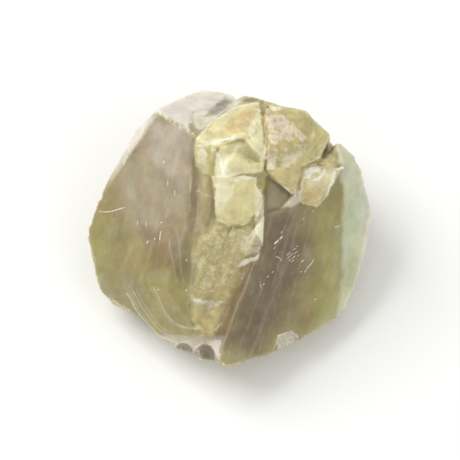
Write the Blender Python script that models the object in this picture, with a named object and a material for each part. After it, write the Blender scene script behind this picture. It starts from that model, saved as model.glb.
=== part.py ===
"""Rough green calcite: one hand-broken lump that lies on its flat underside.

The lump is laid out on its show side, the side that a collector turns up. Show coordinates are
millimetres: u runs right, v runs up the show side, and w stands out of it. The show side leans
back from the floor, so seen() turns it into the lump's own frame, +Z up and the floor at zero.
Calcite splits along three slanting planes. The lump's big left, right and back faces are such
planes, and the steps at its back keep to the same three directions.
"""

from math import radians

import bmesh
import bpy
from mathutils import Matrix, Vector

MM = 0.001
SPECK = 0.05  # corners nearer each other than this are one corner
FAR_OUT = 40.0  # past all that stands out of the show side
SWELL = 0.7  # how far a block's front swells
SWELL_SPAN = 0.62  # of its width
SHOW_LEAN = radians(25)  # from straight up to the way the show side faces
SHOW_HEIGHT = 25.0  # of the middle of the show side above the floor
SEEN = Matrix.Translation((0, 0, SHOW_HEIGHT * MM)) @ Matrix.Rotation(SHOW_LEAN, 4, "X")

# Green calcite, on the whole: an olive stone that is neither dull nor polished
STONE = {"Base Color": (0.42, 0.37, 0.19, 1), "Roughness": 0.45, "Metallic": 0.0, "IOR": 1.55}

# The broken faces of the show side: the height w of each over the middle, and its slope in w
# for each millimetre of u and of v. The lump lies under all but the last.
FACES = {
    "left": (25.6, 0.86, -0.20),
    "left_rim": (70.0, 1.84, -0.89),
    "left_fold": (32.0, 0.89, 0.235),
    "lower": (40.5, 0.92, 0.67),
    "lower_fold": (27.0, 0.48, 0.375),
    "middle": (15.4, 0.04, 0.08),
    "right": (20.8, -0.60, 0.28),
    "right_rim": (38.0, -1.04, 0.08),
    "upper": (28.3, -0.45, -0.33),
    "crown": (42.1, 0.23, -1.05),
    "back": (63.5, -0.40, -2.19),
}
CLEAVAGE = ("left", "right", "back")

# The outline of the show side, clockwise from the bottom to the top, and the stretch of it that
# the back face makes
OUTLINE = [
    (0.0, -40.8),
    (-2.4, -40.5),
    (-8.4, -39.3),
    (-15.9, -36.0),
    (-21.6, -32.5),
    (-36.0, -22.5),
    (-39.3, -18.3),
    (-40.2, -9.3),
    (-43.0, -1.2),
    (-39.6, 7.8),
    (-36.0, 15.6),
    (-32.1, 22.5),
    (-27.6, 30.0),
    (4.2, 38.4),
    (9.6, 36.6),
    (22.5, 34.0),
    (28.2, 27.5),
    (33.3, 23.4),
    (37.2, 20.7),
    (39.3, 16.8),
    (41.7, 8.4),
    (42.6, 3.9),
    (41.1, -4.8),
    (38.4, -13.2),
    (33.9, -25.2),
    (30.6, -27.9),
    (15.9, -36.3),
]
BACK_OUTLINE = [
    (-21.0, 35.8),
    (-9.2, 42.2),
    (-2.4, 41.4),
]

# The sides below the outline, and the foot, in millimetres in the lump's own frame
BELLY = [
    (-40, 4, 9),
    (-33, 24, 14),
    (-14, 43, 13),
    (8, 42, 14),
    (28, 32, 14),
    (40, 12, 10),
    (38, -8, 5),
    (-31, -6, 0),
    (-34, 6, 0),
    (-27, 22, 0),
    (-10, 34, 0),
    (10, 34, 0),
    (27, 20, 0),
    (35, 4, 0),
    (33, -12, 0),
    (26, -20, 0),
    (12, -28, 0),
    (-4, -28, 0),
    (-18, -20, 0),
    (-27, -12, 0),
]

# Blocks that stand out of the show side: the corners of each one's front, and how deep its root
# goes and how far that spreads, against the front
BLOCKS = {
    "tooth": (
        [
            (-4.8, 13.8, 17.6), (3.0, 14.6, 19.2), (9.6, 12.6, 19.4), (9.4, 6.9, 18.9),
            (8.1, 3.0, 17.8), (5.4, 1.2, 16.9), (-1.8, 0.6, 16.2), (-3.5, 3.0, 16.6),
            (-4.4, 8.4, 17.3),
        ],
        6.0,
        0.04,
    ),
    "shoulder": (
        [
            (-5.1, 22.8, 15.8), (-2.4, 24.0, 16.4), (1.5, 22.8, 17.4), (9.6, 18.0, 18.4),
            (9.8, 14.6, 18.9), (3.0, 14.3, 18.7), (-4.8, 14.0, 17.0), (-6.0, 18.9, 15.6),
        ],
        6.0,
        0.0,
    ),
    "slab": (
        [
            (-10.2, 24.3, 12.5), (-9.0, 22.7, 14.2), (-2.4, 24.9, 17.4), (3.9, 26.4, 18.3),
            (7.5, 28.5, 16.8), (9.6, 32.4, 12.4), (8.4, 36.9, 7.8), (3.9, 37.2, 6.2),
            (-1.5, 31.8, 10.6), (-7.5, 29.4, 10.6), (-9.9, 26.4, 11.6),
        ],
        7.0,
        0.0,
    ),
    "cheek": (
        [(3.9, 27.0, 17.6), (9.7, 33.0, 11.6), (10.6, 23.4, 17.0), (9.9, 18.0, 18.2)],
        6.0,
        0.0,
    ),
    "flap": (
        [
            (-10.2, 24.9, 12.8), (-7.5, 23.4, 14.8), (-5.1, 17.4, 16.0), (-5.7, 15.0, 15.6),
            (-9.0, 17.4, 14.2), (-10.2, 20.4, 13.2),
        ],
        5.0,
        -0.1,
    ),
    "hood": (
        [
            (10.4, 36.8, 9.6), (22.5, 34.6, 9.4), (29.4, 27.3, 8.6), (28.8, 24.9, 9.6),
            (26.4, 20.4, 11.8), (21.9, 18.0, 14.8), (10.2, 20.0, 18.8), (10.4, 23.4, 18.2),
        ],
        9.0,
        -0.2,
    ),
    "beak": (
        [(11.2, 21.6, 18.0), (21.2, 19.4, 14.4), (18.9, 9.0, 16.8), (10.7, 16.8, 18.4)],
        7.0,
        -0.1,
    ),
    "wedge": (
        [
            (22.2, 17.4, 11.6), (26.2, 17.2, 11.6), (30.7, 16.6, 9.6), (28.3, 12.9, 10.7),
            (26.2, 8.2, 10.6), (23.0, 7.4, 11.0), (21.2, 8.9, 12.0), (20.2, 11.6, 12.6),
        ],
        6.0,
        0.3,
    ),
    "plate": (
        [
            (-8.4, 0.6, 15.2), (3.0, 0.0, 16.4), (7.4, -6.0, 16.0), (4.6, -13.0, 15.4),
            (1.0, -20.6, 14.6), (-3.0, -22.2, 14.0), (-10.4, -21.4, 13.8), (-12.0, -15.0, 13.9),
            (-11.4, -7.0, 14.5),
        ],
        4.0,
        0.0,
    ),
    "bruise": (
        [(9.8, 4.0, 17.0), (9.4, -4.0, 15.6), (7.6, -9.8, 14.6), (2.4, -10.6, 15.9), (5.6, -3.0, 16.9)],
        4.0,
        0.0,
    ),
    "ledge": (
        [(15.6, 6.0, 13.3), (21.0, 8.2, 10.9), (20.4, 12.0, 11.2), (18.0, 9.6, 12.7)],
        4.0,
        0.0,
    ),
}

# Hollows cut before the blocks go on: the corners of each floor, and the same corners where the
# hollow opens
HOLLOWS = {
    "back_notch": (
        [
            (-26.0, 34.0, 3.4), (-11.0, 26.4, 14.1), (-11.4, 33.0, -0.2), (2.4, 39.5, -20.0),
            (2.4, 47.0, -36.4), (-26.0, 47.0, -25.0),
        ],
        [
            (-26.0, 34.0, 20.0), (-9.8, 25.6, 20.0), (-6.0, 29.6, 18.0), (4.6, 37.4, 12.0),
            (4.6, 47.0, 12.0), (-26.0, 47.0, 20.0),
        ],
    ),
    "valley_top": (
        [
            (-10.8, 26.0, 10.9), (-9.4, 26.0, 11.4), (-8.8, 8.0, 13.7), (-9.8, 1.0, 14.5),
            (-11.0, 8.0, 13.7),
        ],
        [
            (-22.0, 26.0, 22.0), (-5.4, 26.0, 24.0), (-2.4, 8.0, 24.0), (-3.4, 1.0, 24.0),
            (-22.0, 8.0, 24.0),
        ],
    ),
    "valley_foot": (
        [
            (-11.8, 5.0, 14.2), (-9.8, 3.6, 14.6), (-12.2, -8.0, 14.2), (-13.2, -19.0, 13.2),
            (-15.0, -7.0, 14.0),
        ],
        [
            (-22.0, 5.0, 26.0), (-5.0, 3.6, 22.0), (-8.8, -8.0, 22.0), (-10.8, -21.0, 20.0),
            (-24.0, -6.0, 24.0),
        ],
    ),
    "under_beak": (
        [(10.4, 15.5, 14.8), (18.4, 9.6, 11.4), (15.4, 5.8, 12.4), (10.0, 4.2, 15.2)],
        [(9.0, 18.0, 26.0), (21.0, 11.0, 22.0), (16.2, 4.4, 22.0), (9.2, 3.0, 24.0)],
    ),
}

# Small breaks made last, in the same two rows of corners
NICKS = {
    "pocket": (
        [(28.2, 19.6, 6.8), (30.4, 23.2, 5.6), (32.4, 21.4, 5.0), (32.4, 18.9, 5.8)],
        [(27.0, 19.2, 14.0), (30.2, 25.0, 14.0), (34.0, 22.2, 14.0), (33.8, 17.8, 14.0)],
    ),
    "slot": (
        [
            (29.9, 25.0, -5.0), (31.2, 24.4, -5.0), (30.4, 28.0, -5.0), (33.0, 27.0, -5.0),
            (27.6, 20.2, 4.6), (26.9, 20.6, 4.6),
        ],
        [(29.2, 27.6, 16.0), (32.6, 26.0, 16.0), (27.6, 19.4, 16.0), (26.6, 20.0, 16.0)],
    ),
    "slit": (
        [(-5.8, 18.6, 12.6), (-5.3, 18.4, 12.6), (-5.2, 16.2, 12.6), (-5.6, 16.2, 12.6)],
        [(-6.2, 19.0, 20.0), (-5.1, 18.6, 20.0), (-4.9, 15.6, 20.0), (-5.7, 15.6, 20.0)],
    ),
    "chip": (
        [(13.0, -37.2, -1.4), (14.4, -32.4, 1.6), (18.0, -31.0, 0.4), (21.6, -34.0, -3.6)],
        [(11.0, -40.0, 12.0), (13.6, -31.6, 12.0), (18.6, -30.0, 12.0), (25.0, -36.0, 12.0)],
    ),
}

# Shell-shaped breaks: the middle of the egg that each follows, and its radii along u, v and w
SCOOPS = {
    "pit": ((9.3, 14.1, 18.8), (2.3, 2.3, 2.3)),
    "bite": ((-39.2, -43.4, -2.0), (21.2, 21.2, 26.0)),
    "scallop_left": ((-13.4, -40.0, 7.0), (4.6, 6.2, 6.0)),
    "scallop_right": ((-7.4, -41.6, 12.4), (4.9, 7.8, 7.6)),
    "back_scar": ((-28.0, 51.0, -64.5), (48.0, 48.0, 48.0)),
    "right_scar": ((68.0, 32.0, -44.0), (48.0, 48.0, 48.0)),
    "left_scar": ((-76.5, 20.5, -38.0), (48.0, 48.0, 48.0)),
    "front_scar": ((19.0, -83.0, -13.5), (48.0, 48.0, 48.0)),
}

# Steps along the three cleavage directions: the inner corner of each, in millimetres in the
# lump's own frame, and how far the step runs from it to the front, right and back left
STEPS = {
    "back_layer": ((6, 36.8, 25), (-40, 80, 80)),
    "crown_layer": ((12, 33, 34), (-40, 80, 80)),
}


def seen(u, v, w):
    """A point of the show side, in metres in the lump's own frame."""
    return SEEN @ (Vector((u, v, w)) * MM)


def height(face, u, v):
    """How far a face stands out at (u, v)."""
    over_middle, along_u, along_v = FACES[face]
    return over_middle + along_u * u + along_v * v


def normal(face):
    """The way that a face looks, in the lump's own frame."""
    _, along_u, along_v = FACES[face]
    return (SEEN.to_3x3() @ Vector((-along_u, -along_v, 1))).normalized()


def add_object(name, bm, collection):
    """Make the mesh an object of its own, with its flat faces whole."""
    bmesh.ops.remove_doubles(bm, verts=bm.verts, dist=SPECK * MM)
    bmesh.ops.dissolve_limit(bm, angle_limit=radians(0.02), verts=bm.verts, edges=bm.edges)
    bmesh.ops.recalc_face_normals(bm, faces=bm.faces)
    mesh = bpy.data.meshes.new(name)
    bm.to_mesh(mesh)
    bm.free()
    obj = bpy.data.objects.new(name, mesh)
    collection.objects.link(obj)
    return obj


def hull(points):
    """The convex solid round these points."""
    bm = bmesh.new()
    for point in points:
        bm.verts.new(point)
    bmesh.ops.convex_hull(bm, input=bm.verts)
    bmesh.ops.delete(bm, geom=[v for v in bm.verts if not v.link_faces], context="VERTS")
    return bm


def split_off(bm, point, way):
    """Break off all that lies past a plane through point, and close the break."""
    bmesh.ops.bisect_plane(
        bm,
        geom=bm.verts[:] + bm.edges[:] + bm.faces[:],
        plane_co=point,
        plane_no=way,
        clear_outer=True,
    )
    rim = [edge for edge in bm.edges if edge.is_boundary]
    bmesh.ops.edgeloop_fill(bm, edges=rim)


def make_body(collection):
    """The lump before its blocks and chips: a blank in the outline, split along the faces."""
    fronts = [face for face in FACES if face != "back"]
    points = [Vector(point) * MM for point in BELLY]
    for u, v in OUTLINE:
        rim = min(height(face, u, v) for face in fronts)
        points += [seen(u, v, rim), seen(u, v, FAR_OUT)]
    for u, v in BACK_OUTLINE:
        points += [seen(u, v, height("back", u, v)), seen(u, v, FAR_OUT)]
    bm = hull(points)
    for face in fronts:
        split_off(bm, seen(0, 0, height(face, 0, 0)), normal(face))
    return add_object("calcite", bm, collection)


def make_block(name, collection):
    """One block: its front swells a little inside its corners, and its root goes into the lump."""
    corners, root, flare = BLOCKS[name]
    middle = sum((Vector(corner) for corner in corners), Vector()) / len(corners)
    points = []
    for corner in corners:
        spread = Vector(corner) - middle
        swollen = middle + spread * SWELL_SPAN + Vector((0, 0, SWELL))
        sunk = Vector(corner) + spread * flare - Vector((0, 0, root))
        points += [seen(*corner), seen(*swollen), seen(*sunk)]
    return add_object(name, hull(points), collection)


def make_hollow(name, rows, collection):
    """The room of a hollow or a nick, from its floor to where it opens."""
    floor, opening = rows
    return add_object(name, hull([seen(*corner) for corner in floor + opening]), collection)


def make_scoop(name, collection):
    """The egg that a shell-shaped break follows."""
    middle, radii = SCOOPS[name]
    bm = bmesh.new()
    place = SEEN @ Matrix.Translation(Vector(middle) * MM) @ Matrix.Diagonal((*radii, 1))
    bmesh.ops.create_icosphere(bm, subdivisions=3, radius=MM, matrix=place)
    return add_object(name, bm, collection)


def make_step(name, collection):
    """The slanting block that comes away where the lump splits in steps."""
    corner, spans = STEPS[name]
    left, right, back = (normal(face) for face in CLEAVAGE)
    edges = [left.cross(right), right.cross(back), back.cross(left)]
    sides = [-edge.normalized() * span * MM for edge, span in zip(edges, spans)]
    points = [Vector(corner) * MM]
    for side in sides:
        points += [point + side for point in points]
    return add_object(name, hull(points), collection)


def dress(body):
    """Give the lump its stone."""
    stone = bpy.data.materials.new("green_calcite")
    stone.use_nodes = True
    shader = stone.node_tree.nodes["Principled BSDF"]
    for value, setting in STONE.items():
        shader.inputs[value].default_value = setting
    body.data.materials.append(stone)


def join(body, shape, operation):
    """Add the shape to the body, or cut it out."""
    shape.hide_render = True
    shape.display_type = "WIRE"
    modifier = body.modifiers.new(shape.name, "BOOLEAN")
    modifier.operation = operation
    modifier.object = shape


def main():
    for obj in list(bpy.data.objects):
        bpy.data.objects.remove(obj)
    parts = bpy.data.collections.new("rough_green_calcite")
    shapes = bpy.data.collections.new("shapes")
    for collection in (parts, shapes):
        bpy.context.scene.collection.children.link(collection)
    body = make_body(parts)
    dress(body)
    for name, rows in HOLLOWS.items():
        join(body, make_hollow(name, rows, shapes), "DIFFERENCE")
    for name in STEPS:
        join(body, make_step(name, shapes), "DIFFERENCE")
    for name in BLOCKS:
        join(body, make_block(name, shapes), "UNION")
    for name, rows in NICKS.items():
        join(body, make_hollow(name, rows, shapes), "DIFFERENCE")
    for name in SCOOPS:
        join(body, make_scoop(name, shapes), "DIFFERENCE")


main()
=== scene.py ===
"""The looks of the rough green calcite: one lump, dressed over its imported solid.

Places on the lump are in show coordinates, as in the part's own source: millimetres, with u to
the right, v up the show side, and w out of it. The show side is what the camera looks at.
"""

from math import radians

import bmesh
import bpy
import numpy as np
from mathutils import Matrix, Vector, noise
from mathutils.bvhtree import BVHTree


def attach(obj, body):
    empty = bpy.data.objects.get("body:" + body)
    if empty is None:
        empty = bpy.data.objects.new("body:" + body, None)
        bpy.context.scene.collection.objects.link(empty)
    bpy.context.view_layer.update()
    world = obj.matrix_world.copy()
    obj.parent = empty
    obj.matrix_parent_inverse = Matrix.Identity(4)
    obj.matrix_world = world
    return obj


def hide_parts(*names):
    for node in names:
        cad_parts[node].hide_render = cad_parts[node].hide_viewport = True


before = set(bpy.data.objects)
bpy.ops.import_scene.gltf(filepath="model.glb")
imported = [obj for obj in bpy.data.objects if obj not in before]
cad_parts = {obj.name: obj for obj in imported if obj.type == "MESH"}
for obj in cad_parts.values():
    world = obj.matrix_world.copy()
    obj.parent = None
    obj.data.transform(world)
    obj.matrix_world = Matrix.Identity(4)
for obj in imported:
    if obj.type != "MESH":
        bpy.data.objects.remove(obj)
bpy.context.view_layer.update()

MM = 0.001

# Where the show side is: it leans back from straight up, and its middle is this far off the floor
SHOW_LEAN = radians(25)
SHOW_HEIGHT = 25.0
SEEN = Matrix.Translation((0, 0, SHOW_HEIGHT * MM)) @ Matrix.Rotation(SHOW_LEAN, 4, "X")

# The mesh of the stone's skin
SKIN_CELL = 0.40  # millimetres
MOST_TRIANGLES = 192_000  # the skin is thinned to this, out of sight of the show side first
SPARED = 0.02  # how readily the show side loses triangles, when the other sides do at 1

# The way that the grain runs, in show coordinates: two of calcite's cleavage planes cross along it
GRAIN_WAY = Vector((0.28, 0.955, 0.06)).normalized()
NOISE_SEED = 11  # without one, the noise vectors start from the clock

# Drawn lines and outlines wander: over what length, and how far at the most, in millimetres
LINE_WANDER = (5.0, 0.35)
PATCH_WANDER = ((6.0, 0.6), (1.6, 0.35))  # which a painted patch does besides

# How the shader shows calcite: its IOR lies between the two that the mineral has, 1.49 and 1.66
IOR = 1.6
LIGHT_REACH = (4.0, 3.7, 2.9)  # millimetres that red, green and blue light go below the surface
ROUGHNESS = (0.2, 0.6)  # of the glassy and of the granular stone
PIT_DEPTH = 0.25  # millimetres, of the fine pits in the granular stone

# Colours of the stone, as sRGB. Each pigment lies over the ones before it: its colour, how strongly
# fine grain breaks it up, and the size of that grain in millimetres.
OLIVE = "998E60"
WARM, COOL = (1.05, 0.99, 0.90, 1), (0.98, 1.01, 1.02, 1)  # the olive's hue drifts between these
PIGMENTS = {
    "taupe": ("A4987D", 0.3, 3.0),
    "brown": ("7B6A51", 0.3, 3.0),
    "green": ("A39E62", 0.3, 3.0),
    "pale_green": ("C2C8AA", 1.1, 3.0),
    "rust": ("8A6F40", 0.8, 2.0),
    # lilac: the stone's own lilac grey, and on the upper left face a painted sheen
    "lilac": ("B6AB9B", 0.5, 4.0),
    "straw": ("BCB27F", 0.8, 1.6),
    "yellow": ("D5CD9B", 0.8, 1.4),
    "moss": ("ABA267", 0.8, 1.6),
    "orange": ("CDB37C", 1.2, 1.6),
    "cream": ("DCD7B6", 1.2, 1.2),
    "pink": ("D6C8B0", 10.0, 1.4),
    # haze: a pale grey pink of the stone's own, and in places a painted sheen and highlight
    "haze": ("D6CEC0", 0.4, 3.0),
    # umber: dark lines of the stone, and painted shade in the scallops, pit, groove and recess
    "umber": ("8F8468", 0.8, 1.2),
    "frost": ("DAD5C4", 2.5, 0.9),
    "white": ("F6F3EA", 1.2, 0.8),
}

LOWEST_CRUST = "yellow"  # the first pigment that belongs to the crust

# What the shape and the noise lay over the pigments: the colour, and how thickly at the most
# painted light: thin stone is paled towards this colour, as if light shone through it
THIN_GLOW_COLOUR, THIN_GLOW_MOST = "C9CBAE", 0.6  # stone so thin that light comes through it
VEIL_COLOUR, VEIL_MOST = "CFC9B4", 0.2  # inside the glassy stone
CRACKED_COLOUR, WORN_MOST, HEALED_MOST = "EAE6D6", 0.45, 0.32  # on broken edges and healed cracks
# painted glints: this colour over scratches and specks stands for light they catch, besides their own
# white
PAINTED_GLINT_COLOUR, SPECK_GLINT_MOST = "F6F4EC", 0.35  # on scratches, glints and specks
HEALED_SPACING = 3.6  # millimetres from crack to crack
SPECK_SPACING = 1.8  # and from speck to speck, which are drawn larger than real so that they show

# The noise in the material: how far it is drawn out along the grain, its size in millimetres, its
# detail and its roughness. Real cracks and pits are too fine to show, so these are coarser.
PATTERNS = {
    "drift": (0.55, 6.0, 4.0, 0.5),  # the hue of the glassy stone
    "veil": (0.55, 3.0, 5.0, 0.65),
    "streak": (0.85, 1.1, 3.0, 0.5),
    "cloud": (0.0, 6.0, 5.0, 0.6),
    "mottle": (0.0, 2.4, 5.0, 0.7),
    "bend": (0.0, 2.5, 2.0, 0.5),  # of the healed cracks
    "cracks": (0.0, 0.8, 3.0, 0.5),
    "rubbed": (0.0, 0.5, 1.0, 0.5),  # stretches of a scratch that don't glint
    "pits": (0.0, 0.6, 4.0, 0.5),
}
SWINGS = {"streak": 0.03, "cloud": 0.20, "mottle": 0.34}  # how much lighter or darker each makes it

# How much stone lies behind a surface, in millimetres: how far below it the measuring starts, and
# what counts as thin and as thick
UNDER_SKIN = 1.5
THIN_STONE = (4.0, 22.0)
# this share of the painted light through thin stone is already in the show side's patches
PALE_ALREADY = 0.6  # of what thin stone pales is in the show side's own colours

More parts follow.
